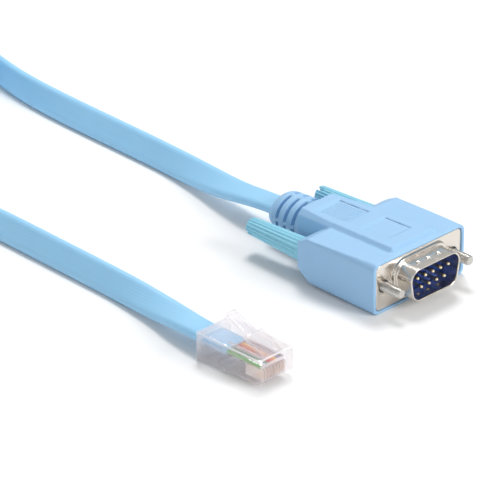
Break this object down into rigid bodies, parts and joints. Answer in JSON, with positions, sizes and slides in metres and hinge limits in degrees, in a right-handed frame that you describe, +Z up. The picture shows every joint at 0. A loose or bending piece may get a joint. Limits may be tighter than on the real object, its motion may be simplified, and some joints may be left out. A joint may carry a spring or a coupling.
{
  "type": "console cable",
  "caption": "Flat cable joining a D-sub plug in a moulded hood with thumbscrews to a clear modular plug, its spare length coiled and tied.",
  "frame": {"origin": "under the middle of the D-sub plug with its hood and thumbscrews, on the surface that the cable lies on", "axes": "+Z up; the mating faces of both plugs look towards -Y and the cable leaves them towards +Y; x = 0 is the middle plane of the D-sub plug"},
  "size_m": [0.0937, 0.2592, 0.0171],
  "materials": {
    "hood_vinyl": "light blue moulded vinyl, satin with a fine grain",
    "knob_plastic": "blue-green moulded plastic, satin",
    "cable_jacket": "light blue extruded vinyl, satin",
    "nickel_plate": "nickel plated steel, bright",
    "insulator_plastic": "dark blue moulded plastic",
    "pin_plate": "plated contact pins",
    "clear_polycarbonate": "clear moulded polycarbonate",
    "contact_gold": "gold plated blades",
    "wire_green": "green wire insulation",
    "wire_grey": "grey wire insulation",
    "wire_dark_green": "dark green wire insulation",
    "wire_red": "red wire insulation",
    "wire_orange": "orange wire insulation",
    "wire_yellow": "yellow wire insulation",
    "wire_violet": "violet-grey wire insulation",
    "wire_black": "black wire insulation",
    "tie_strap": "black woven strap"
  },
  "bodies": {
    "root": {"hood": "hood_vinyl", "front_shell": "nickel_plate", "pin_insulator": "insulator_plastic", "pin_1": "pin_plate", "pin_2": "pin_plate", "pin_3": "pin_plate", "pin_4": "pin_plate", "pin_5": "pin_plate", "pin_6": "pin_plate", "pin_7": "pin_plate", "pin_8": "pin_plate", "pin_9": "pin_plate", "plug_housing": "clear_polycarbonate", "contact_1": "contact_gold", "contact_2": "contact_gold", "contact_3": "contact_gold", "contact_4": "contact_gold", "contact_5": "contact_gold", "contact_6": "contact_gold", "contact_7": "contact_gold", "contact_8": "contact_gold", "wire_1": "wire_green", "wire_2": "wire_grey", "wire_3": "wire_dark_green", "wire_4": "wire_red", "wire_5": "wire_orange", "wire_6": "wire_yellow", "wire_7": "wire_violet", "wire_8": "wire_black", "cable_boot_stretch": "cable_jacket", "cable_coil": "cable_jacket", "cable_plug_stretch": "cable_jacket", "coil_tie": "tie_strap"},
    "thumbscrew_left": {"jackscrew_left": "nickel_plate", "knob_left": "knob_plastic"},
    "thumbscrew_right": {"jackscrew_right": "nickel_plate", "knob_right": "knob_plastic"},
    "latch": {"plug_latch": "clear_polycarbonate"}
  },
  "joints": [
    {"name": "thumbscrew_left_turn", "type": "hinge", "parent": "root", "child": "thumbscrew_left", "pos_m": [-0.01249, 0, 0.00711], "axis": [0, 1, 0], "continuous": true},
    {"name": "thumbscrew_right_turn", "type": "hinge", "parent": "root", "child": "thumbscrew_right", "pos_m": [0.01249, 0, 0.00711], "axis": [0, 1, 0], "continuous": true},
    {"name": "latch_press", "type": "hinge", "parent": "root", "child": "latch", "pos_m": [-0.0572, -0.02715, 0.0078], "axis": [-1, 0, 0], "range_deg": [0, 16], "stiffness_Nm_per_rad": 0.3}
  ]
}
